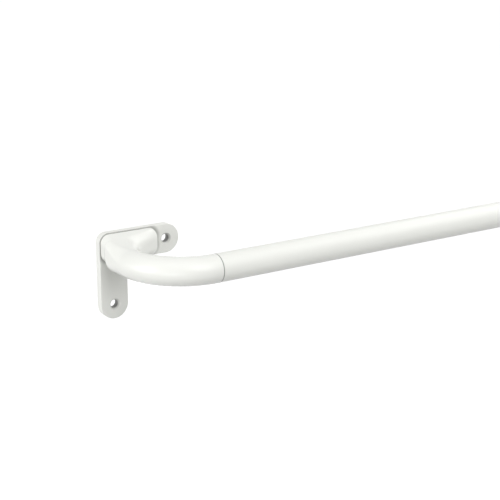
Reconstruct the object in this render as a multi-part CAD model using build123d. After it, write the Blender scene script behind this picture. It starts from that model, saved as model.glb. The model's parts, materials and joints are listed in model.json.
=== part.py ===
# Wrap-around curtain rod: two wall plates, two elbows and a telescoping round rod.
# Millimetres. X runs along the rod, -Y comes out of the wall, +Z is up. The origin lies on
# the left plate's back face, on the axis by which the left elbow meets the wall.
import math
import os
from build123d import *

# Rod
rod_d = 19.0                # outer tube, outside
rod_wall = 0.8
inner_d = 16.0              # inner tube, outside
inner_wall = 0.8
outer_tube_len = 600.0
inner_tube_len = 547.0
axis_span = 780.0           # between the two elbows' wall axes, as stored
fit = 0.05                  # radial clearance of every sliding or turning fit
seam_gap = 0.25             # between a tube's end and the shoulder it stops at
seam_chamfer = 0.35

# Elbow
projection = 69.5           # wall to rod axis
bend_r = 38.8               # to the rod's centre line
shoulder = 1.2              # straight land between the bend and the seam
spigot_len = 50.0
foot_len = 42.5             # along the wall plate's level arm
foot_corner_r = 6.0
foot_inset = 0.7            # plate's edge to foot
foot_depth = 5.6            # plate to the crease on the foot's outer side
crease_step = 0.35          # how far the outer side steps in there
cove_middle = 0.32          # share of the neck's length by which half the foot's reach is gone
cove_power = 3.4            # how sharply it goes there
top_power = 1.8             # how soon each other side of the neck leaves the foot for the tube
bottom_power = 5.0
outer_power = 2.0
corner_power = 0.7
foot_bands = 5              # straight bands that the curved lengths are lofted in
neck_bands = 8
neck_grading = 1.3          # how much finer the neck's bands are near the foot
bend_bands = 8
quadrant_blend = 2.0        # degrees of the tube's circle that each flat side runs out into

# Wall plate
plate_t = 5.5
arm_w = 20.1
arm_shift = 0.65            # upright arm's centre, right of the elbow's axis
arm_rise = 5.5              # level arm's centre, above the rod's axis
hole_reach = 40.1           # corner's centre to the hole in the level arm
hole_drop = 39.4            # corner's centre to the hole in the upright arm
plate_corner_r = 6.6
plate_inner_r = 3.0
hole_d = 5.8
countersink_d = 7.8
countersink_depth = 1.0

# Tongue on the plate that the elbow's foot drops over, and its lock screw
tongue_mid = 4.5            # right of the elbow's axis
tongue_len = 21.0
tongue_h = 10.0
tongue_out = 5.5
tongue_gap = 0.15
lock_d = 3.0                # hole for the screw's shank
lock_head_d = 4.6
lock_head_h = 1.6
lock_head_sink = 2.0
lock_head_gap = 0.2
lock_len = 8.6
lock_hole_spare = 1.0
lock_socket = 2.5           # across the flats
lock_socket_depth = 0.9

# Telescope fittings
bush_len = 16.0
glide_stem = 18.0
glide_head = 10.0
glide_gap = 0.1             # between the glide's head and the inner tube's end

# Sizes that follow
tube_r = rod_d / 2
tube_bore = rod_d - 2 * rod_wall
inner_bore = inner_d - 2 * inner_wall
straight = projection - bend_r
foot_h = arm_w - 2 * foot_inset
foot_left = arm_w / 2 - arm_shift - foot_inset
neck_len = straight - plate_t
crease = 1 - foot_depth / neck_len
seam = bend_r + shoulder
tube_start = seam + seam_gap
mouth = tube_start + outer_tube_len
inner_end = axis_span - tube_start
inner_start = inner_end - inner_tube_len
lock_y = plate_t + tongue_out / 2
lock_seat = arm_rise - foot_h / 2 + lock_head_sink


# A sketch plane parallel to the wall, so far out of it: local x is X, local y is Z
def wall_plane(out):
    return Plane(origin=(0, -out, 0), x_dir=(1, 0, 0), z_dir=(0, -1, 0))


# A sketch plane across the rod at a place along it: local x is Y, local y is Z
def rod_plane(x):
    return Plane(origin=(x, -projection, 0), x_dir=(0, 1, 0), z_dir=(1, 0, 0))


# A round bar along the rod
def bar(x, length, diameter):
    return extrude(rod_plane(x) * Circle(diameter / 2), amount=length)


# A round tube along the rod
def pipe(x, length, diameter, bore):
    return extrude(rod_plane(x) * (Circle(diameter / 2) - Circle(bore / 2)), amount=length)


# The same piece at the rod's other end
def to_right_end(piece):
    return Pos(axis_span, 0, 0) * mirror(piece, about=Plane.YZ)


# L-shaped outline: round arm ends, a rounded outer corner and a filleted inner one
def plate_outline():
    corner = Pos(arm_shift, arm_rise)
    shape = corner * RectangleRounded(arm_w, arm_w, plate_corner_r)
    shape += corner * Pos(hole_reach / 2, 0) * Rectangle(hole_reach, arm_w)
    shape += corner * Pos(hole_reach, 0) * Circle(arm_w / 2)
    shape += corner * Pos(0, -hole_drop / 2) * Rectangle(arm_w, hole_drop)
    shape += corner * Pos(0, -hole_drop) * Circle(arm_w / 2)
    inner = (arm_shift + arm_w / 2, arm_rise - arm_w / 2)
    corner_point = shape.vertices().sort_by_distance((inner[0], inner[1], 0))[0]
    return fillet(corner_point, plate_inner_r)


# Cast plate with two countersunk screw holes and the tongue, drilled from below for its screw
def wall_plate():
    plate = extrude(wall_plane(0) * plate_outline(), amount=plate_t)
    for place in ((hole_reach, 0), (0, -hole_drop)):
        spot = Pos(arm_shift + place[0], arm_rise + place[1])
        plate -= extrude(wall_plane(0) * spot * Circle(hole_d / 2), amount=plate_t)
        mouth_ring = wall_plane(plate_t) * spot * Circle(countersink_d / 2)
        throat = wall_plane(plate_t - countersink_depth) * spot * Circle(hole_d / 2)
        plate -= loft([mouth_ring, throat])
    tongue = Rectangle(tongue_len, tongue_h)
    plate += extrude(wall_plane(plate_t) * Pos(tongue_mid, arm_rise) * tongue, amount=tongue_out)
    return plate - lock_bar(lock_d, lock_seat, lock_len + lock_hole_spare)


# An upright bar on the lock screw's axis, from a height up
def lock_bar(diameter, low, length):
    return extrude(Plane(origin=(tongue_mid, -lock_y, low)) * Circle(diameter / 2), amount=length)


# The tube's circle, cut into as many arcs as a rounded rectangle has sides and corners
def tube_section():
    arcs = []
    for quarter in range(4):
        start = 90 * quarter - quadrant_blend / 2
        arcs.append(CenterArc((0, 0), tube_r, start, quadrant_blend))
        arcs.append(CenterArc((0, 0), tube_r, start + quadrant_blend, 90 - quadrant_blend))
    return wall_plane(straight) * make_face(arcs)


# What is left of the foot's reach so far off the plate, and how steeply it goes there
def cove(out):
    level = (out / cove_middle) ** cove_power
    last = 1 / (1 + cove_middle ** -cove_power)
    steep = cove_power * out ** (cove_power - 1) / cove_middle ** cove_power / (1 + level) ** 2
    return (1 / (1 + level) - last) / (1 - last), steep / (1 - last)


# A section of foot and neck: 1 is the rounded rectangle on the plate, 0 is where the bend starts
def neck_section(share, step):
    if share == 0:
        return tube_section()
    kept, steep = cove(1 - share)
    spread = foot_len - foot_left - tube_r
    left = tube_r + (foot_left - tube_r) * share ** outer_power - step
    right = tube_r + spread * kept
    top = tube_r + (arm_rise + foot_h / 2 - tube_r) * share ** top_power
    bottom = tube_r + (foot_h / 2 - arm_rise - tube_r) * share ** bottom_power
    radius = tube_r + (foot_corner_r - tube_r) * share ** corner_power
    run = radius * math.hypot(1, spread * steep / neck_len)
    high, low = top - radius, radius - bottom
    outline = [
        Line((right, low), (right, high)),
        EllipticalCenterArc((right - run, high), run, radius, 0),
        Line((right - run, top), (radius - left, top)),
        CenterArc((radius - left, high), radius, 90, 90),
        Line((-left, high), (-left, low)),
        CenterArc((radius - left, low), radius, 180, 90),
        Line((radius - left, -bottom), (right - run, -bottom)),
        EllipticalCenterArc((right - run, low), run, radius, 270),
    ]
    return wall_plane(straight - neck_len * share) * make_face(outline)


# Moulded elbow: foot over the tongue, neck that runs into the round bend, and a spigot for the tube
def elbow(spigot_d):
    foot = [1 - (1 - crease) * band / foot_bands for band in range(foot_bands + 1)]
    neck = [crease * (1 - (band / neck_bands) ** neck_grading) for band in range(neck_bands + 1)]
    body = loft([neck_section(share, 0) for share in foot], ruled=True)
    body += loft([neck_section(share, crease_step) for share in neck], ruled=True)
    bend_axis = Axis((bend_r, -straight, 0), (0, 0, 1))
    bend_start = wall_plane(straight) * Circle(tube_r)
    turns = [90 * band / bend_bands for band in range(bend_bands + 1)]
    body += loft([bend_start.rotate(bend_axis, turn) for turn in turns], ruled=True)
    land = bar(bend_r, shoulder, rod_d)
    body += chamfer(land.faces().sort_by(Axis.X)[-1].edges(), seam_chamfer)
    body += bar(seam, spigot_len, spigot_d)
    pocket = Rectangle(tongue_len + 2 * tongue_gap, tongue_h + 2 * tongue_gap)
    body -= extrude(wall_plane(plate_t) * Pos(tongue_mid, arm_rise) * pocket, amount=tongue_out + tongue_gap)
    body -= lock_bar(lock_d, lock_seat, arm_rise - lock_seat)
    return body - lock_bar(lock_head_d + 2 * lock_head_gap, -tube_r, tube_r + lock_seat)


# Lock screw with a hexagon socket in its head, put in from below
def lock_screw():
    head_low = lock_seat - lock_head_h
    screw = lock_bar(lock_d - 2 * fit, lock_seat, lock_len)
    screw += lock_bar(lock_head_d, head_low, lock_head_h)
    socket = RegularPolygon(lock_socket / 2, 6, major_radius=False)
    return screw - extrude(Plane(origin=(tongue_mid, -lock_y, head_low)) * socket, amount=lock_socket_depth)


# Painted outer tube, chamfered where it meets the elbow
def outer_tube():
    tube = pipe(tube_start, outer_tube_len, rod_d, tube_bore)
    near_end = tube.faces().sort_by(Axis.X)[0]
    outer_edge = near_end.edges().sort_by(SortBy.LENGTH)[-1]
    return chamfer(outer_edge, seam_chamfer)


# Bush in the outer tube's mouth that the inner tube runs through
def mouth_bush():
    return pipe(mouth - bush_len, bush_len, tube_bore, inner_d + 2 * fit)


# Painted inner tube
def inner_tube():
    return pipe(inner_start, inner_tube_len, inner_d, inner_bore)


# Glide on the inner tube's hidden end: its head slides in the outer tube, its stem turns in the inner one
def inner_glide():
    stem = bar(inner_start - glide_gap, glide_stem, inner_bore - 2 * fit)
    return stem + bar(inner_start - glide_gap - glide_head, glide_head, tube_bore - 2 * fit)


os.makedirs("parts", exist_ok=True)
pieces = {
    "left_wall_plate": wall_plate(),
    "left_elbow": elbow(tube_bore - 2 * fit),
    "left_lock_screw": lock_screw(),
    "outer_tube": outer_tube(),
    "mouth_bush": mouth_bush(),
    "inner_glide": inner_glide(),
    "inner_tube": inner_tube(),
    "right_elbow": to_right_end(elbow(inner_bore - 2 * fit)),
    "right_lock_screw": to_right_end(lock_screw()),
    "right_wall_plate": to_right_end(wall_plate()),
}
for name, piece in pieces.items():
    export_step(piece, f"parts/{name}.step")
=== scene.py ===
# Looks of a wrap-around curtain rod: satin white tubes, moulded elbows and cast wall plates.
# Metres, in the part's own frame: +X along the rod, +Y into the wall, +Z up.
import json
import math

import bmesh
import bpy
import numpy as np
from mathutils import Matrix, Vector


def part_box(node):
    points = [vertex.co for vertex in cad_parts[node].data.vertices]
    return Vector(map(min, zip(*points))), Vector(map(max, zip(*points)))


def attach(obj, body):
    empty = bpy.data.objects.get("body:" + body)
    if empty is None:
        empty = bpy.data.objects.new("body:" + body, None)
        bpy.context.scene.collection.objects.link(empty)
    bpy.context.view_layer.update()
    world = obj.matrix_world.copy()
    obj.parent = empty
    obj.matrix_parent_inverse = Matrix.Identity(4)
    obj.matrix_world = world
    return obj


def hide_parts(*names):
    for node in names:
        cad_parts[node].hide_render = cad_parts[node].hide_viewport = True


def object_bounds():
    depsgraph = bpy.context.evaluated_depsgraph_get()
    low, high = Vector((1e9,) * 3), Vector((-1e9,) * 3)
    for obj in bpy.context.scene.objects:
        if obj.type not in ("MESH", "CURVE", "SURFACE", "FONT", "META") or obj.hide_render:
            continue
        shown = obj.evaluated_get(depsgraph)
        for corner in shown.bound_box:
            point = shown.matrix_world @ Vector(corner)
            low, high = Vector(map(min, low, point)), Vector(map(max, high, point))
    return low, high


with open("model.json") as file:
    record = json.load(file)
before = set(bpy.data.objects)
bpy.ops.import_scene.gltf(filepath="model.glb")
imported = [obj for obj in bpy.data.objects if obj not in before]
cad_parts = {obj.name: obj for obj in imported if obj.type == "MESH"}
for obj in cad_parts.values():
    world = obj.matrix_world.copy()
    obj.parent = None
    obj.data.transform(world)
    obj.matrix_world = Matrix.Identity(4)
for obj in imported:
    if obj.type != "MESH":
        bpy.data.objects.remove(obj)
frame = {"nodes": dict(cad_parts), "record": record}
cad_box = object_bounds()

MM = 0.001
merge_distance = 0.001 * MM
sharp_angle = 40            # degrees between faces that stay sharp
plate_sharp_angle = 30

# Places and sizes that the frame gives
tube_low, tube_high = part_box("outer_tube")
inner_low, inner_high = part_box("inner_tube")
bush_low, bush_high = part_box("mouth_bush")
elbow_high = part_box("left_elbow")[1]
screw_low, screw_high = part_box("left_lock_screw")
mount_place = {mount["name"]: Vector(mount["pos_m"]) for mount in frame["record"]["mounts"]}
rod_y = (tube_low.y + tube_high.y) / 2
tube_r = (tube_high.y - tube_low.y) / 2
inner_r = (inner_high.y - inner_low.y) / 2
axis_span = mount_place["right_wall_face"].x
arm_hole = mount_place["left_arm_screw_hole"]
lower_hole = mount_place["left_lower_screw_hole"]

# Tubes
tube_wall = 0.8 * MM
tube_edge_round = 0.3 * MM
bush_edge_round = 0.2 * MM
round_segments = 128

# Elbow
bend_r = 38.8 * MM
shoulder = 1.2 * MM
spigot_fit = 0.05 * MM
spigot_lead = 1.0 * MM      # chamfer at the spigot's end
foot_len = 42.0 * MM        # along the wall plate's level arm
foot_inset = 0.7 * MM       # plate's edge to foot
foot_corner_r = 6.0 * MM
foot_base_round = 0.25 * MM
seam_round = 0.3 * MM
cove_middle = 0.32          # share of the neck's length by which half the foot's reach is gone
cove_power = 3.4            # how sharply it goes there
top_power = 1.8             # how soon the upper side and the corners leave the foot for the tube
corner_power = 0.7
rim_depth = 7.3 * MM        # plate to the round neck's hind rim
rim_flare = 3.0             # how late the foot's left side widens to that rim
rim_round = 0.5 * MM
rim_corner_r = 3.5 * MM     # the neck's upper corners at the rim
outline_halvings = 48       # steps of the search for an outline's reach
around = 256                # points in a ring
foot_rows = 14
neck_rows = 40
bend_rows = 56
round_rows = 5

# Wall plate
plate_t = 5.5 * MM
arm_w = 20.1 * MM
plate_corner_r = 6.6 * MM
plate_inner_r = 3.0 * MM
plate_edge_round = 0.3 * MM
hole_d = 5.8 * MM
countersink_d = 7.8 * MM
countersink_depth = 1.0 * MM
hole_shade_reach = 2.6 * MM  # depth from a hole's mouth over which its painted shade darkens from the lip to the bore
hole_shade_spare = 0.01 * MM
hole_shade_slot = 1               # the slot of the holes' painted shade among the plate's finishes
arc_steps = 24
edge_steps = 4

# Tongue, its pocket and the lock screw
tongue_mid = 4.5 * MM
tongue_len = 21.0 * MM
tongue_h = 10.0 * MM
tongue_out = 5.5 * MM
tongue_corner_r = 0.3 * MM
tongue_gap = 0.15 * MM
lock_d = 3.0 * MM
lock_shank_d = 2.9 * MM
lock_head_h = 1.6 * MM
lock_head_gap = 0.2 * MM
lock_socket = 2.5 * MM      # across the flats
lock_socket_sides = 6
lock_socket_depth = 0.9 * MM
lock_edge_round = 0.18 * MM
lock_seat_slope = 0.1       # fall of the head's upper face, as a share of its edge
cut_spare = 1.0 * MM        # how far a cutting tool stands past the face it cuts

# Painted shade at the joints: a contact shadow on the plate round the foot, and shade in the rod's
# seams
seam_shade_width = 0.7 * MM        # how far each painted shade reaches from its joint
joint_shade_width = 3.4 * MM
joint_shade_reach = 0.3 * MM      # off the plate's face
joint_shade = 0.5           # share of the colour that the painted shade takes away

# Sizes that follow
straight = -rod_y - bend_r
seam = bend_r + shoulder
spigot_len = elbow_high.x - seam
arm_rise = arm_hole.z
arm_shift = lower_hole.x
foot_h = arm_w - 2 * foot_inset
foot_left = arm_w / 2 - arm_shift - foot_inset
neck_len = straight - plate_t
rim = 1 - rim_depth / neck_len
lock_y = plate_t + tongue_out / 2
lock_seat = screw_low.z + lock_head_h


# Mesh helpers

def new_piece(name, verts, faces):
    mesh = bpy.data.meshes.new(name)
    mesh.from_pydata([tuple(v) for v in verts], [], faces)
    mesh.validate()
    return link(name, mesh)


def link(name, data):
    piece = bpy.data.objects.new(name, data)
    bpy.context.scene.collection.objects.link(piece)
    return piece


# Merge doubles, close seams and turn every face outwards
def tidy(mesh):
    work = bmesh.new()
    work.from_mesh(mesh)
    bmesh.ops.remove_doubles(work, verts=work.verts, dist=merge_distance)
    bmesh.ops.dissolve_degenerate(work, edges=work.edges, dist=merge_distance)
    bmesh.ops.recalc_face_normals(work, faces=work.faces)
    work.to_mesh(mesh)
    work.free()


# The evaluated object as a plain mesh, with its modifiers gone
def bake_modifiers(piece):
    bpy.context.view_layer.update()
    graph = bpy.context.evaluated_depsgraph_get()
    made = bpy.data.meshes.new_from_object(piece.evaluated_get(graph))
    piece.modifiers.clear()
    piece.data = made
    made.name = piece.name


def smooth(piece, sharp_degrees):
    piece.data.shade_smooth()
    piece.data.set_sharp_from_angle(angle=math.radians(sharp_degrees))


def carve(piece, tool, operation="DIFFERENCE"):
    cut = piece.modifiers.new("carve", "BOOLEAN")
    cut.operation = operation
    cut.solver = "EXACT"
    cut.object = tool
    bake_modifiers(piece)
    bpy.data.objects.remove(tool)


# Rings of equal length joined into a skin; flat caps close its two ends
def skin(name, rings):
    count = len(rings[0])
    faces = []
    for row in range(len(rings) - 1):
        for step in range(count):
            after = (step + 1) % count
            this, other = row * count, (row + 1) * count
            faces.append((this + step, this + after, other + after, other + step))
    last = (len(rings) - 1) * count
    faces.append(tuple(reversed(range(count))))
    faces.append(tuple(range(last, last + count)))
    piece = new_piece(name, np.concatenate(rings), faces)
    tidy(piece.data)
    return piece


# The mirror image of a left-end piece at the rod's right end
def at_right_end(piece):
    flip = Matrix.Translation((axis_span, 0, 0)) @ Matrix.Scale(-1, 4, (1, 0, 0))
    piece.data.transform(flip)
    tidy(piece.data)


# Elbow

# Distance from the tube's axis to a rounded outline round it, along each direction
def outline_reach(angles, left, right, top, bottom, upper_r, lower_r, stretch):
    ways = np.stack([np.cos(angles), np.sin(angles)], 1)
    near = np.zeros(len(angles))
    far = np.full(len(angles), 2 * (left + right + top + bottom))
    for _ in range(outline_halvings):
        reach = (near + far) / 2
        x, z = (ways * reach[:, None]).T
        radius = np.where(z > 0, upper_r, lower_r)
        past_x = np.maximum((x - right) / (radius * stretch) + 1, (-left - x) / radius + 1)
        past_z = np.maximum(z - top, -bottom - z) / radius + 1
        outside = np.hypot(np.maximum(past_x, 0), np.maximum(past_z, 0)) > 1
        far = np.where(outside, reach, far)
        near = np.where(outside, near, reach)
    return near


# What is left of the foot's reach so far off the plate, and how steeply it goes there
def cove(out):
    level = (out / cove_middle) ** cove_power
    last = 1 / (1 + cove_middle ** -cove_power)
    steep = cove_power * out ** (cove_power - 1) / cove_middle ** cove_power / (1 + level) ** 2
    return (1 / (1 + level) - last) / (1 - last), steep / (1 - last)


# Height of the elbow's upper side: share 1 lies on the plate, share 0 where the bend starts
def upper_side(share):
    return tube_r + (arm_rise + foot_h / 2 - tube_r) * share ** top_power


# The foot's rounded block, which runs out along the neck
def foot_reach(angles, share):
    kept, steep = cove(1 - share)
    spread = foot_len - foot_left - tube_r
    left = foot_left + (tube_r - foot_left) * min((1 - share) / (1 - rim), 1) ** rim_flare
    right = tube_r + spread * kept
    bottom = tube_r + (foot_h / 2 - arm_rise - tube_r) * share
    radius = tube_r + (foot_corner_r - tube_r) * share ** corner_power
    stretch = math.hypot(1, spread * steep / neck_len)
    return outline_reach(angles, left, right, upper_side(share), bottom, radius, radius, stretch)


# The round neck, whose upper side is squarer and higher near the foot
def tube_reach(angles, share):
    upper_r = tube_r + (rim_corner_r - tube_r) * share / rim
    return outline_reach(angles, tube_r, tube_r, upper_side(share), tube_r, upper_r, tube_r, 1.0)


# A ring of foot or neck parallel to the plate
def neck_ring(angles, share, reach):
    depth = np.full(len(angles), neck_len * share - straight)
    return np.stack([reach * np.cos(angles), depth, reach * np.sin(angles)], 1)


# Rings from the plate to the bend: the foot alone, then with the neck, whose hind rim is rounded
def neck_rings(angles):
    rings = []
    for row in range(round_rows):
        bow = math.pi / 2 * row / round_rows
        share = 1 - foot_base_round * (1 - math.cos(bow)) / neck_len
        reach = foot_reach(angles, share) - foot_base_round * (1 - math.sin(bow))
        rings.append(neck_ring(angles, share, reach))
    base = 1 - foot_base_round / neck_len
    for row in range(foot_rows + 1):
        share = base + (rim - base) * row / foot_rows
        rings.append(neck_ring(angles, share, foot_reach(angles, share)))
    for row in range(round_rows + 1):
        bow = math.pi / 2 * row / round_rows
        share = rim - rim_round * (1 - math.cos(bow)) / neck_len
        round_neck = tube_reach(angles, share) - rim_round * (1 - math.sin(bow))
        reach = np.maximum(foot_reach(angles, share), round_neck)
        rings.append(neck_ring(angles, share, reach))
    rim_end = rim - rim_round / neck_len
    for row in range(1, neck_rows + 1):
        share = rim_end * (1 - row / neck_rows)
        reach = np.maximum(foot_reach(angles, share), tube_reach(angles, share))
        rings.append(neck_ring(angles, share, reach))
    return rings


# A ring of the round bend, so far round its quarter turn
def bend_ring(angles, turn, radius):
    inward = radius * np.cos(angles)
    x = bend_r - (bend_r - inward) * math.cos(turn)
    y = -straight - (bend_r - inward) * math.sin(turn)
    return np.stack([x, y, radius * np.sin(angles)], 1)


# A ring round the rod's axis, with the bend's order of points
def rod_ring(angles, x, radius):
    return bend_ring(angles, math.pi / 2, radius) + np.array([x - bend_r, 0, 0])


def elbow(name, spigot_r):
    angles = np.linspace(0, 2 * math.pi, around, endpoint=False)
    rings = neck_rings(angles)
    for row in range(1, bend_rows + 1):
        rings.append(bend_ring(angles, math.pi / 2 * row / bend_rows, tube_r))
    for row in range(round_rows + 1):
        bow = math.pi / 2 * row / round_rows
        x = seam - seam_round * (1 - math.sin(bow))
        rings.append(rod_ring(angles, x, tube_r - seam_round * (1 - math.cos(bow))))
    rings.append(rod_ring(angles, seam, spigot_r))
    rings.append(rod_ring(angles, seam + spigot_len - spigot_lead, spigot_r))
    rings.append(rod_ring(angles, seam + spigot_len, spigot_r - spigot_lead))
    piece = skin(name, rings)
    pocket = tongue_block("pocket", tongue_gap, plate_t - cut_spare, plate_t + tongue_out + tongue_gap)
    carve(piece, pocket)
    carve(piece, upright_bar("lock_hole", lock_d, lock_seat - cut_spare, arm_rise))
    head_room = screw_high.x - screw_low.x + 2 * lock_head_gap
    carve(piece, upright_bar("head_hole", head_room, -tube_r - cut_spare, lock_seat))
    smooth(piece, sharp_angle)
    return piece


# An upright round bar on the lock screw's axis
def upright_bar(name, diameter, low, high):
    angles = np.linspace(0, 2 * math.pi, round_segments // 2, endpoint=False)
    x = tongue_mid + diameter / 2 * np.cos(angles)
    y = -lock_y + diameter / 2 * np.sin(angles)
    rings = [np.stack([x, y, np.full(len(angles), height)], 1) for height in (low, high)]
    return skin(name, rings)


# Wall plate

# Points on an arc, first and last included
def arc(centre, radius, start, end, steps):
    turns = [math.radians(start + (end - start) * step / steps) for step in range(steps + 1)]
    return [(centre[0] + radius * math.cos(t), centre[1] + radius * math.sin(t)) for t in turns]


# A closed outline raised between two depths off the wall
def prism(name, outline, low, high):
    rings = [np.array([(x, -depth, z) for x, z in outline]) for depth in (low, high)]
    return skin(name, rings)


def rounded_box(width, height, radius, middle):
    points = []
    for quarter, (sx, sy) in enumerate(((1, 1), (-1, 1), (-1, -1), (1, -1))):
        centre = (middle[0] + sx * (width / 2 - radius), middle[1] + sy * (height / 2 - radius))
        points += arc(centre, radius, 90 * quarter, 90 * quarter + 90, arc_steps)
    return points


# The tongue, or with a gap round it the pocket that takes it
def tongue_block(name, gap, low, high):
    length, height = tongue_len + 2 * gap, tongue_h + 2 * gap
    outline = rounded_box(length, height, tongue_corner_r + gap, (tongue_mid, arm_rise))
    return prism(name, outline, low, high)


# L of two arms with round ends, a rounded outer corner and a filleted inner one
def plate_outline(inset):
    side = arm_w / 2 - inset
    corner_r = plate_corner_r - inset
    fillet_r = plate_inner_r + inset
    inner_corner = (arm_shift + side + fillet_r, arm_rise - side - fillet_r)
    outer_corner = (arm_shift - side + corner_r, arm_rise + side - corner_r)
    points = arc((arm_hole.x, arm_rise), side, -90, 90, 2 * arc_steps)
    points += arc(outer_corner, corner_r, 90, 180, arc_steps)
    points += arc((arm_shift, lower_hole.z), side, 180, 360, 2 * arc_steps)
    return points + arc(inner_corner, fillet_r, 180, 90, arc_steps)


# A tool that cuts a countersunk screw hole
def hole_tool(name, centre):
    angles = np.linspace(0, 2 * math.pi, round_segments // 2, endpoint=False)
    slope = (countersink_d - hole_d) / 2 / countersink_depth
    profile = (
        (hole_d / 2, -cut_spare),
        (hole_d / 2, plate_t - countersink_depth),
        (countersink_d / 2, plate_t),
        (countersink_d / 2 + slope * cut_spare, plate_t + cut_spare),
    )
    rings = []
    for radius, depth in profile:
        x = centre.x + radius * np.cos(angles)
        z = centre.z + radius * np.sin(angles)
        rings.append(np.stack([x, np.full(len(angles), -depth), z], 1))
    return skin(name, rings)


def wall_plate(name):
    rings = [np.array([(x, 0.0, z) for x, z in plate_outline(0)])]
    for step in range(edge_steps + 1):
        bow = math.pi / 2 * step / edge_steps
        inset = plate_edge_round * (1 - math.cos(bow))
        depth = plate_t - plate_edge_round * (1 - math.sin(bow))
        rings.append(np.array([(x, -depth, z) for x, z in plate_outline(inset)]))
    piece = skin(name, rings)
    for label, centre in (("arm", arm_hole), ("lower", lower_hole)):
        carve(piece, hole_tool(label, centre))
    carve(piece, tongue_block("tongue", 0, plate_t - cut_spare, plate_t + tongue_out), "UNION")
    carve(piece, upright_bar("tongue_hole", lock_d, lock_seat, screw_high.z + cut_spare))
    smooth(piece, plate_sharp_angle)
    return piece


# Painted shade on the screw holes' faces, which are found by their distance from a hole's axis
def shade_holes(piece):
    points = [vertex.co for vertex in piece.data.vertices]
    for face in piece.data.polygons:
        corners = [points[index] for index in face.vertices]
        for hole in (arm_hole, lower_hole):
            reach = max(math.hypot(point.x - hole.x, point.z - hole.z) for point in corners)
            if reach < countersink_d / 2 + hole_shade_spare:
                face.material_index = hole_shade_slot


# Geometry node trees

def add_input(tree, name, kind, default=None):
    socket = tree.interface.new_socket(name=name, in_out="INPUT", socket_type=kind)
    if default is not None:
        socket.default_value = default


def node(tree, kind, **settings):
    made = tree.nodes.new(kind)
    for key, value in settings.items():
        setattr(made, key, value)
    return made


# A number, or another node's output, into a socket
def feed(tree, value, socket):
    if isinstance(value, (int, float)):
        socket.default_value = value
    else:
        tree.links.new(value, socket)


def math_node(tree, operation, first, second=0.0):
    made = node(tree, "ShaderNodeMath", operation=operation)
    feed(tree, first, made.inputs[0])
    feed(tree, second, made.inputs[1])
    return made.outputs[0]


def half(tree, value):
    return math_node(tree, "MULTIPLY", value, 0.5)


# A smooth fade from 1 at a start value to 0 at an end value
def fade_out(tree, value, start, end):
    fade = node(tree, "ShaderNodeMapRange", interpolation_type="SMOOTHSTEP")
    fade.inputs["To Min"].default_value = 1.0
    fade.inputs["To Max"].default_value = 0.0
    feed(tree, value, fade.inputs["Value"])
    feed(tree, start, fade.inputs["From Min"])
    feed(tree, end, fade.inputs["From Max"])
    return fade.outputs["Result"]


# A tube's wall, with softened ends, swept round the rod's axis
def tube_tree():
    tree = bpy.data.node_groups.new("tube_skin", "GeometryNodeTree")
    tree.interface.new_socket(name="Geometry", in_out="OUTPUT", socket_type="NodeSocketGeometry")
    for name in ("Length", "Outer Diameter", "Wall", "Edge Round"):
        add_input(tree, name, "NodeSocketFloat")
    add_input(tree, "Middle", "NodeSocketVector")
    add_input(tree, "Segments", "NodeSocketInt", round_segments)
    add_input(tree, "Finish", "NodeSocketMaterial")
    source = node(tree, "NodeGroupInput").outputs
    wall_section = node(tree, "GeometryNodeCurvePrimitiveQuadrilateral", mode="RECTANGLE")
    tree.links.new(source["Wall"], wall_section.inputs["Width"])
    tree.links.new(source["Length"], wall_section.inputs["Height"])
    soft_ends = node(tree, "GeometryNodeFilletCurve", mode="POLY")
    soft_ends.inputs["Count"].default_value = round_rows
    tree.links.new(wall_section.outputs["Curve"], soft_ends.inputs["Curve"])
    tree.links.new(source["Edge Round"], soft_ends.inputs["Radius"])
    hoop = node(tree, "GeometryNodeCurvePrimitiveCircle", mode="RADIUS")
    middle_diameter = math_node(tree, "SUBTRACT", source["Outer Diameter"], source["Wall"])
    tree.links.new(half(tree, middle_diameter), hoop.inputs["Radius"])
    tree.links.new(source["Segments"], hoop.inputs["Resolution"])
    sweep = node(tree, "GeometryNodeCurveToMesh")
    tree.links.new(hoop.outputs["Curve"], sweep.inputs["Curve"])
    tree.links.new(soft_ends.outputs["Curve"], sweep.inputs["Profile Curve"])
    place = node(tree, "GeometryNodeTransform")
    place.inputs["Rotation"].default_value = (0, math.pi / 2, 0)
    tree.links.new(sweep.outputs["Mesh"], place.inputs["Geometry"])
    tree.links.new(source["Middle"], place.inputs["Translation"])
    close_tree(tree, place.outputs["Geometry"], source["Finish"])
    return tree


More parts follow.
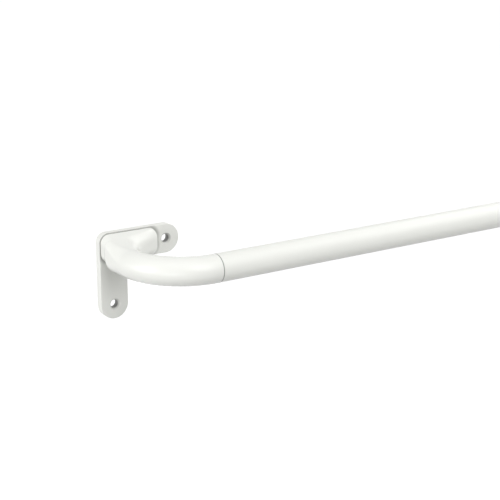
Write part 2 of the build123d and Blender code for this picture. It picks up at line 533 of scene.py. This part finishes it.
# A lock screw: a turned profile with softened edges, and a hexagon socket in its head
def screw_tree():
    tree = bpy.data.node_groups.new("lock_screw_skin", "GeometryNodeTree")
    tree.interface.new_socket(name="Geometry", in_out="OUTPUT", socket_type="NodeSocketGeometry")
    for name in ("Head Diameter", "Head Height", "Shank Diameter", "Shank Length",
                 "Socket Width", "Socket Depth", "Edge"):
        add_input(tree, name, "NodeSocketFloat")
    add_input(tree, "Seat", "NodeSocketVector")
    add_input(tree, "Finish", "NodeSocketMaterial")
    source = node(tree, "NodeGroupInput").outputs
    edge = source["Edge"]
    head_r = half(tree, source["Head Diameter"])
    shank_r = half(tree, source["Shank Diameter"])
    head_low = math_node(tree, "MULTIPLY", source["Head Height"], -1.0)
    head_flat = math_node(tree, "SUBTRACT", head_r, edge)
    seat_rim = math_node(tree, "MULTIPLY", edge, -lock_seat_slope)
    profile = (
        (head_flat, head_low),
        (head_r, math_node(tree, "ADD", head_low, edge)),
        (head_r, math_node(tree, "SUBTRACT", seat_rim, edge)),
        (head_flat, seat_rim),
        (shank_r, 0.0),
        (shank_r, math_node(tree, "SUBTRACT", source["Shank Length"], edge)),
        (math_node(tree, "SUBTRACT", shank_r, edge), source["Shank Length"]),
    )
    turned = turn_profile(tree, profile, round_segments // 2)
    key = node(tree, "GeometryNodeMeshCylinder")
    key.inputs["Vertices"].default_value = lock_socket_sides
    corner_share = 2 * math.cos(math.pi / lock_socket_sides)
    corners = math_node(tree, "DIVIDE", source["Socket Width"], corner_share)
    tree.links.new(corners, key.inputs["Radius"])
    tree.links.new(math_node(tree, "MULTIPLY", source["Socket Depth"], 2.0), key.inputs["Depth"])
    drop = node(tree, "ShaderNodeCombineXYZ")
    tree.links.new(head_low, drop.inputs["Z"])
    key_place = node(tree, "GeometryNodeTransform")
    tree.links.new(key.outputs["Mesh"], key_place.inputs["Geometry"])
    tree.links.new(drop.outputs["Vector"], key_place.inputs["Translation"])
    socketed = node(tree, "GeometryNodeMeshBoolean", operation="DIFFERENCE", solver="EXACT")
    tree.links.new(turned, socketed.inputs["Mesh 1"])
    tree.links.new(key_place.outputs["Geometry"], socketed.inputs["Mesh 2"])
    place = node(tree, "GeometryNodeTransform")
    tree.links.new(socketed.outputs["Mesh"], place.inputs["Geometry"])
    tree.links.new(source["Seat"], place.inputs["Translation"])
    close_tree(tree, place.outputs["Geometry"], source["Finish"])
    return tree


# A solid turned about the upright axis from radii and heights, with flat ends
def turn_profile(tree, profile, sides):
    index = node(tree, "GeometryNodeInputIndex").outputs["Index"]
    radius = pick_by_index(tree, index, [point[0] for point in profile])
    height = pick_by_index(tree, index, [point[1] for point in profile])
    spot = node(tree, "ShaderNodeCombineXYZ")
    tree.links.new(height, spot.inputs["Z"])
    line = node(tree, "GeometryNodeCurvePrimitiveLine")
    stops = node(tree, "GeometryNodeResampleCurve", mode="COUNT")
    stops.inputs["Count"].default_value = len(profile)
    tree.links.new(line.outputs["Curve"], stops.inputs["Curve"])
    axis = node(tree, "GeometryNodeSetPosition")
    tree.links.new(stops.outputs["Curve"], axis.inputs["Geometry"])
    tree.links.new(spot.outputs["Vector"], axis.inputs["Position"])
    ring = node(tree, "GeometryNodeCurvePrimitiveCircle", mode="RADIUS")
    ring.inputs["Radius"].default_value = 1.0
    ring.inputs["Resolution"].default_value = sides
    sweep = node(tree, "GeometryNodeCurveToMesh")
    sweep.inputs["Fill Caps"].default_value = True
    tree.links.new(axis.outputs["Geometry"], sweep.inputs["Curve"])
    tree.links.new(ring.outputs["Curve"], sweep.inputs["Profile Curve"])
    tree.links.new(radius, sweep.inputs["Scale"])
    return sweep.outputs["Mesh"]


# One of several values, by a point's number
def pick_by_index(tree, index, values):
    pick = node(tree, "GeometryNodeIndexSwitch", data_type="FLOAT")
    while len(pick.index_switch_items) < len(values):
        pick.index_switch_items.new()
    tree.links.new(index, pick.inputs["Index"])
    for number, value in enumerate(values):
        feed(tree, value, pick.inputs[number + 1])
    return pick.outputs["Output"]


# Every tree ends in real geometry with its finish on it
def close_tree(tree, geometry, finish):
    realize = node(tree, "GeometryNodeRealizeInstances")
    coat = node(tree, "GeometryNodeSetMaterial")
    result = node(tree, "NodeGroupOutput")
    tree.links.new(geometry, realize.inputs["Geometry"])
    tree.links.new(realize.outputs["Geometry"], coat.inputs["Geometry"])
    tree.links.new(finish, coat.inputs["Material"])
    tree.links.new(coat.outputs["Geometry"], result.inputs["Geometry"])


# A piece made by a tree with these inputs, as a plain mesh
def grow(name, tree, values):
    piece = link(name, bpy.data.meshes.new(name))
    modifier = piece.modifiers.new(name, "NODES")
    modifier.node_group = tree
    for item in tree.interface.items_tree:
        if item.item_type == "SOCKET" and item.in_out == "INPUT" and item.name in values:
            modifier[item.identifier] = values[item.name]
    bake_modifiers(piece)
    tidy(piece.data)
    return piece


# Shader groups and materials

peel_detail = 2.0
tone_detail = 3.0
tone_scale = 30.0
roughness_spread = 0.04
steel_color = (0.72, 0.72, 0.72, 1)
steel_grain = (900, 900, 9000)
steel_roughness = (0.22, 0.42)
# Painted shade at a hole's lip, lighter than the bore's
hole_lip_shade_color = (0.74, 0.745, 0.71, 1)


# Sprayed or moulded skin: a fine orange peel, and a tone that drifts a little over the piece
def skin_group():
    group = bpy.data.node_groups.new("white_skin", "ShaderNodeTree")
    add_input(group, "Vector", "NodeSocketVector")
    add_input(group, "Color", "NodeSocketColor")
    for name in ("Peel Scale", "Tone Spread", "Roughness"):
        add_input(group, name, "NodeSocketFloat")
    add_input(group, "Tone Scale", "NodeSocketFloat", tone_scale)
    add_input(group, "Roughness Spread", "NodeSocketFloat", roughness_spread)
    group.interface.new_socket(name="Color", in_out="OUTPUT", socket_type="NodeSocketColor")
    for name in ("Roughness", "Height"):
        group.interface.new_socket(name=name, in_out="OUTPUT", socket_type="NodeSocketFloat")
    source = node(group, "NodeGroupInput").outputs
    result = node(group, "NodeGroupOutput").inputs
    peel = node(group, "ShaderNodeTexNoise")
    peel.inputs["Detail"].default_value = peel_detail
    group.links.new(source["Vector"], peel.inputs["Vector"])
    group.links.new(source["Peel Scale"], peel.inputs["Scale"])
    drift = node(group, "ShaderNodeTexNoise")
    drift.inputs["Detail"].default_value = tone_detail
    group.links.new(source["Vector"], drift.inputs["Vector"])
    group.links.new(source["Tone Scale"], drift.inputs["Scale"])
    centred = math_node(group, "SUBTRACT", drift.outputs["Fac"], 0.5)
    lift = math_node(group, "MULTIPLY", centred, source["Tone Spread"])
    tone = math_node(group, "ADD", lift, 1.0)
    tinted = node(group, "ShaderNodeVectorMath", operation="SCALE")
    group.links.new(source["Color"], tinted.inputs[0])
    group.links.new(tone, tinted.inputs["Scale"])
    group.links.new(tinted.outputs["Vector"], result["Color"])
    rough = math_node(group, "MULTIPLY", centred, source["Roughness Spread"])
    group.links.new(math_node(group, "ADD", rough, source["Roughness"]), result["Roughness"])
    group.links.new(peel.outputs["Fac"], result["Height"])
    return group


# A mask of painted shade, 1 where the foot meets the plate and at the rod's seams and 0 away from
# them: a painted contact shadow round the foot and painted shade in the seams
def joint_shade_group():
    group = bpy.data.node_groups.new("joint_shade_mask", "ShaderNodeTree")
    add_input(group, "Vector", "NodeSocketVector")
    add_input(group, "Width", "NodeSocketFloat")
    group.interface.new_socket(name="Mask", in_out="OUTPUT", socket_type="NodeSocketFloat")
    source = node(group, "NodeGroupInput").outputs
    result = node(group, "NodeGroupOutput").inputs
    parts = node(group, "ShaderNodeSeparateXYZ")
    group.links.new(source["Vector"], parts.inputs["Vector"])
    from_right = math_node(group, "SUBTRACT", axis_span, parts.outputs["X"])
    near_end = math_node(group, "MINIMUM", parts.outputs["X"], from_right)
    across = math_node(group, "SUBTRACT", near_end, foot_len / 2 - foot_left)
    upright = math_node(group, "SUBTRACT", parts.outputs["Z"], arm_rise)
    aside = math_node(group, "ABSOLUTE", across)
    above = math_node(group, "ABSOLUTE", upright)
    past_x = math_node(group, "SUBTRACT", aside, foot_len / 2 - foot_corner_r)
    past_z = math_node(group, "SUBTRACT", above, foot_h / 2 - foot_corner_r)
    square_x = math_node(group, "POWER", math_node(group, "MAXIMUM", past_x, 0.0), 2.0)
    square_z = math_node(group, "POWER", math_node(group, "MAXIMUM", past_z, 0.0), 2.0)
    rounded = math_node(group, "POWER", math_node(group, "ADD", square_x, square_z), 0.5)
    inside = math_node(group, "MINIMUM", math_node(group, "MAXIMUM", past_x, past_z), 0.0)
    distance = math_node(group, "SUBTRACT", math_node(group, "ADD", rounded, inside), foot_corner_r)
    # Painted contact shadow, fading from the foot's outline across the plate
    near_foot = fade_out(group, distance, 0.0, source["Width"])
    off_wall = math_node(group, "ADD", parts.outputs["Y"], plate_t)
    at_plate = math_node(group, "COMPARE", off_wall, 0.0)
    at_plate.node.inputs[2].default_value = joint_shade_reach
    foot_shade = math_node(group, "MULTIPLY", near_foot, at_plate)
    # Painted shade in the seam where the tube meets the elbow
    off_seam = math_node(group, "SUBTRACT", near_end, (seam + tube_low.x) / 2)
    at_seam = fade_out(group, math_node(group, "ABSOLUTE", off_seam), 0.0, seam_shade_width)
    on_rod = math_node(group, "LESS_THAN", parts.outputs["Y"], rod_y / 2)
    seam_shade = math_node(group, "MULTIPLY", at_seam, on_rod)
    group.links.new(math_node(group, "MAXIMUM", foot_shade, seam_shade), result["Mask"])
    return group


def new_material(name):
    material = bpy.data.materials.new(name)
    material.use_nodes = True
    tree = material.node_tree
    return material, tree, tree.nodes["Principled BSDF"]


def white_finish(name, color, roughness, peel_scale, peel_height, tone_spread, specular):
    material, tree, shader = new_material(name)
    place = node(tree, "ShaderNodeTexCoord")
    skin_nodes = node(tree, "ShaderNodeGroup", node_tree=white_skin)
    skin_nodes.inputs["Color"].default_value = (*color, 1)
    skin_nodes.inputs["Peel Scale"].default_value = peel_scale
    skin_nodes.inputs["Tone Spread"].default_value = tone_spread
    skin_nodes.inputs["Roughness"].default_value = roughness
    tree.links.new(place.outputs["Object"], skin_nodes.inputs["Vector"])
    bump = node(tree, "ShaderNodeBump")
    bump.inputs["Distance"].default_value = peel_height
    bump.inputs["Strength"].default_value = 1.0
    tree.links.new(skin_nodes.outputs["Height"], bump.inputs["Height"])
    tree.links.new(skin_nodes.outputs["Color"], shader.inputs["Base Color"])
    tree.links.new(skin_nodes.outputs["Roughness"], shader.inputs["Roughness"])
    tree.links.new(bump.outputs["Normal"], shader.inputs["Normal"])
    shader.inputs["Specular IOR Level"].default_value = specular
    return material


def plated_steel(name):
    material, tree, shader = new_material(name)
    place = node(tree, "ShaderNodeTexCoord")
    turned = node(tree, "ShaderNodeMapping")
    turned.inputs["Scale"].default_value = steel_grain
    grain = node(tree, "ShaderNodeTexNoise")
    grain.inputs["Scale"].default_value = 1.0
    spread = node(tree, "ShaderNodeMapRange")
    spread.inputs["To Min"].default_value = steel_roughness[0]
    spread.inputs["To Max"].default_value = steel_roughness[1]
    tree.links.new(place.outputs["Object"], turned.inputs["Vector"])
    tree.links.new(turned.outputs["Vector"], grain.inputs["Vector"])
    tree.links.new(grain.outputs["Fac"], spread.inputs["Value"])
    tree.links.new(spread.outputs["Result"], shader.inputs["Roughness"])
    shader.inputs["Base Color"].default_value = steel_color
    shader.inputs["Metallic"].default_value = 1.0
    return material


# Darken a finished material's colour at the joints with painted shade
def paint_joint_shade(material):
    tree = material.node_tree
    shader = tree.nodes["Principled BSDF"]
    color = shader.inputs["Base Color"].links[0].from_socket
    place = node(tree, "ShaderNodeTexCoord")
    line = node(tree, "ShaderNodeGroup", node_tree=joint_shade_mask)
    line.inputs["Width"].default_value = joint_shade_width
    tree.links.new(place.outputs["Object"], line.inputs["Vector"])
    shade = math_node(tree, "MULTIPLY", line.outputs["Mask"], joint_shade)
    keep = math_node(tree, "SUBTRACT", 1.0, shade)
    darker = node(tree, "ShaderNodeVectorMath", operation="SCALE")
    tree.links.new(color, darker.inputs[0])
    tree.links.new(keep, darker.inputs["Scale"])
    tree.links.new(darker.outputs["Vector"], shader.inputs["Base Color"])


# Painted shade in a hole: a colour that darkens from the hole's lip into its bore, where shade falls
def paint_hole_shade(material):
    tree = material.node_tree
    skin_nodes = next(made for made in tree.nodes if made.type == "GROUP")
    bore_shade = tuple(skin_nodes.inputs["Color"].default_value)
    place = node(tree, "ShaderNodeTexCoord")
    parts = node(tree, "ShaderNodeSeparateXYZ")
    tree.links.new(place.outputs["Object"], parts.inputs["Vector"])
    lip_share = fade_out(tree, parts.outputs["Y"], -plate_t, hole_shade_reach - plate_t)
    blend = node(tree, "ShaderNodeMix", data_type="RGBA")
    blend.inputs["A"].default_value = bore_shade
    blend.inputs["B"].default_value = hole_lip_shade_color
    tree.links.new(lip_share, blend.inputs["Factor"])
    tree.links.new(blend.outputs["Result"], skin_nodes.inputs["Color"])


white_skin = skin_group()
joint_shade_mask = joint_shade_group()
tube_paint = white_finish("tube_paint", color=(0.857, 0.865, 0.822), roughness=0.32,
                          peel_scale=900, peel_height=0.006 * MM, tone_spread=0.02, specular=0.5)
plate_paint = white_finish("plate_paint", color=(0.852, 0.860, 0.818), roughness=0.45,
                           peel_scale=1400, peel_height=0.008 * MM, tone_spread=0.03, specular=0.45)
elbow_plastic = white_finish("elbow_plastic", color=(0.866, 0.874, 0.832), roughness=0.22,
                             peel_scale=700, peel_height=0.004 * MM, tone_spread=0.015, specular=0.5)
nylon = white_finish("nylon", color=(0.84, 0.84, 0.82), roughness=0.55,
                     peel_scale=1800, peel_height=0.006 * MM, tone_spread=0.03, specular=0.4)
# Painted shade for the screw holes' faces: a dark grey where the bores lie in shade
hole_shade = white_finish("hole_shade", color=(0.30, 0.30, 0.29), roughness=0.5,
                            peel_scale=1400, peel_height=0.008 * MM, tone_spread=0.05, specular=0.5)
paint_hole_shade(hole_shade)
screw_steel = plated_steel("screw_steel")
# Painted shade at the joints on the tubes, the plates and the elbows
for material in (tube_paint, plate_paint, elbow_plastic):
    paint_joint_shade(material)


# Pieces on their bodies

def dress(piece, material, body, cad_node):
    if not piece.data.materials:
        piece.data.materials.append(material)
    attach(piece, body)
    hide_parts(cad_node)


def tube_values(low, high, wall, edge, material):
    return {
        "Length": high.x - low.x,
        "Outer Diameter": high.y - low.y,
        "Wall": wall,
        "Edge Round": edge,
        "Middle": Vector(((low.x + high.x) / 2, rod_y, 0.0)),
        "Finish": material,
    }


def build_tubes():
    tree = tube_tree()
    bush_wall = (bush_high.y - bush_low.y) / 2 - inner_r - spigot_fit
    rows = (
        ("outer_tube", tube_wall, tube_edge_round, tube_paint, "left_half", "white_tube_paint"),
        ("inner_tube", tube_wall, tube_edge_round, tube_paint, "right_half", "white_tube_paint"),
        ("mouth_bush", bush_wall, bush_edge_round, nylon, "left_half", "white_nylon"),
    )
    for name, wall, edge, material, body, slot in rows:
        low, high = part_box(name)
        piece = grow(name + "_skin", tree, tube_values(low, high, wall, edge, material))
        smooth(piece, sharp_angle)
        dress(piece, material, body, name)


def build_screws():
    tree = screw_tree()
    for side, body in (("left", "left_half"), ("right", "right_half")):
        low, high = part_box(side + "_lock_screw")
        seat = Vector(((low.x + high.x) / 2, (low.y + high.y) / 2, lock_seat))
        values = {
            "Head Diameter": high.x - low.x,
            "Head Height": lock_head_h,
            "Shank Diameter": lock_shank_d,
            "Shank Length": high.z - lock_seat,
            "Socket Width": lock_socket,
            "Socket Depth": lock_socket_depth,
            "Edge": lock_edge_round,
            "Seat": seat,
            "Finish": screw_steel,
        }
        piece = grow(side + "_lock_screw_skin", tree, values)
        smooth(piece, sharp_angle)
        dress(piece, screw_steel, body, side + "_lock_screw")


def build_ends():
    left_bore = tube_r - tube_wall - spigot_fit
    right_bore = inner_r - tube_wall - spigot_fit
    elbows = (("left", left_bore, "left_half"), ("right", right_bore, "right_half"))
    for side, spigot_r, body in elbows:
        bent = elbow(side + "_elbow_skin", spigot_r)
        plate = wall_plate(side + "_wall_plate_skin")
        plate.data.materials.append(plate_paint)
        # The holes' faces take the painted shade
        plate.data.materials.append(hole_shade)
        shade_holes(plate)
        if side == "right":
            at_right_end(bent)
            at_right_end(plate)
        dress(bent, elbow_plastic, body, side + "_elbow")
        dress(plate, plate_paint, body, side + "_wall_plate")


build_tubes()
build_screws()
build_ends()
glide = frame["nodes"]["inner_glide"]
glide.data.materials.clear()
glide.data.materials.append(nylon)


# Camera at the photograph's viewing angle

camera_place = Vector((-372.77, -710.55, 224.27)) * MM
camera_azimuth = -34.39
camera_elevation = 15.56
camera_lens_mm = 89.87
camera_sensor_mm = 36.0
camera_clip = (0.01, 100.0)


# The way from the part to something at an azimuth from its front and an elevation, in degrees
def outward(azimuth, elevation):
    turn, rise = math.radians(azimuth), math.radians(elevation)
    return Vector((math.sin(turn) * math.cos(rise), -math.cos(turn) * math.cos(rise), math.sin(rise)))


def place_camera():
    data = bpy.data.cameras.new("camera")
    data.lens = camera_lens_mm
    data.sensor_width = camera_sensor_mm
    data.clip_start, data.clip_end = camera_clip
    camera = link("camera", data)
    back = outward(camera_azimuth, camera_elevation)
    camera.location = camera_place
    camera.rotation_euler = (-back).to_track_quat("-Z", "Y").to_euler()
    bpy.context.scene.camera = camera


# Light, floor and background

floor_drop = 0.5
floor_size = 40.0
floor_grey = 0.35
floor_glow = 0.9
world_level = 0.367
lamp_distance = 2.4
lamp_size = 1.6
lamp_target = Vector((0.1, -0.05, 0.0))

# Each lamp's name, azimuth and elevation in degrees, and power in watts
lamps = (
    ("left", -90, 10, 27.5),
    ("left_back", -120, 0, 3.5),
    ("front", 0, 30, 17.7),
    ("front_high", 0, 55, 7.7),
    ("front_right", 60, 40, 12.0),
    ("right", 100, 40, 10.3),
    ("low", -50, -20, 31.8),
)


# 1 for rays that see the background straight, in a gloss or through glass
def background_rays(tree):
    path = node(tree, "ShaderNodeLightPath")
    seen = math_node(tree, "ADD", path.outputs["Is Camera Ray"], path.outputs["Is Glossy Ray"])
    seen = math_node(tree, "ADD", seen, path.outputs["Is Transmission Ray"])
    return math_node(tree, "MINIMUM", seen, 1.0)


def build_world():
    world = bpy.data.worlds.new("studio")
    bpy.context.scene.world = world
    world.use_nodes = True
    tree = world.node_tree
    sky = tree.nodes["Background"]
    sky.inputs["Color"].default_value = (1, 1, 1, 1)
    level = math_node(tree, "MULTIPLY", background_rays(tree), 1 - world_level)
    tree.links.new(math_node(tree, "ADD", level, world_level), sky.inputs["Strength"])


def build_floor():
    reach = floor_size / 2
    height = cad_box[0].z - floor_drop
    corners = [(sx * reach, sy * reach, height) for sx, sy in ((-1, -1), (1, -1), (1, 1), (-1, 1))]
    floor = new_piece("floor", corners, [(0, 1, 2, 3)])
    material, tree, shader = new_material("floor_white")
    shader.inputs["Base Color"].default_value = (floor_grey, floor_grey, floor_grey, 1)
    shader.inputs["Roughness"].default_value = 1.0
    shader.inputs["Specular IOR Level"].default_value = 0.0
    shader.inputs["Emission Color"].default_value = (1, 1, 1, 1)
    glow = math_node(tree, "MULTIPLY", background_rays(tree), floor_glow)
    tree.links.new(glow, shader.inputs["Emission Strength"])
    floor.data.materials.append(material)


def softbox(name, azimuth, elevation, power):
    data = bpy.data.lights.new(name, "AREA")
    data.shape = "DISK"
    data.size = lamp_size
    data.energy = power
    lamp = link(name, data)
    way = outward(azimuth, elevation)
    lamp.location = lamp_target + way * lamp_distance
    lamp.rotation_euler = (-way).to_track_quat("-Z", "Y").to_euler()


place_camera()
build_world()
build_floor()
for row in lamps:
    softbox(*row)

bpy.context.scene.view_settings.view_transform = "Standard"
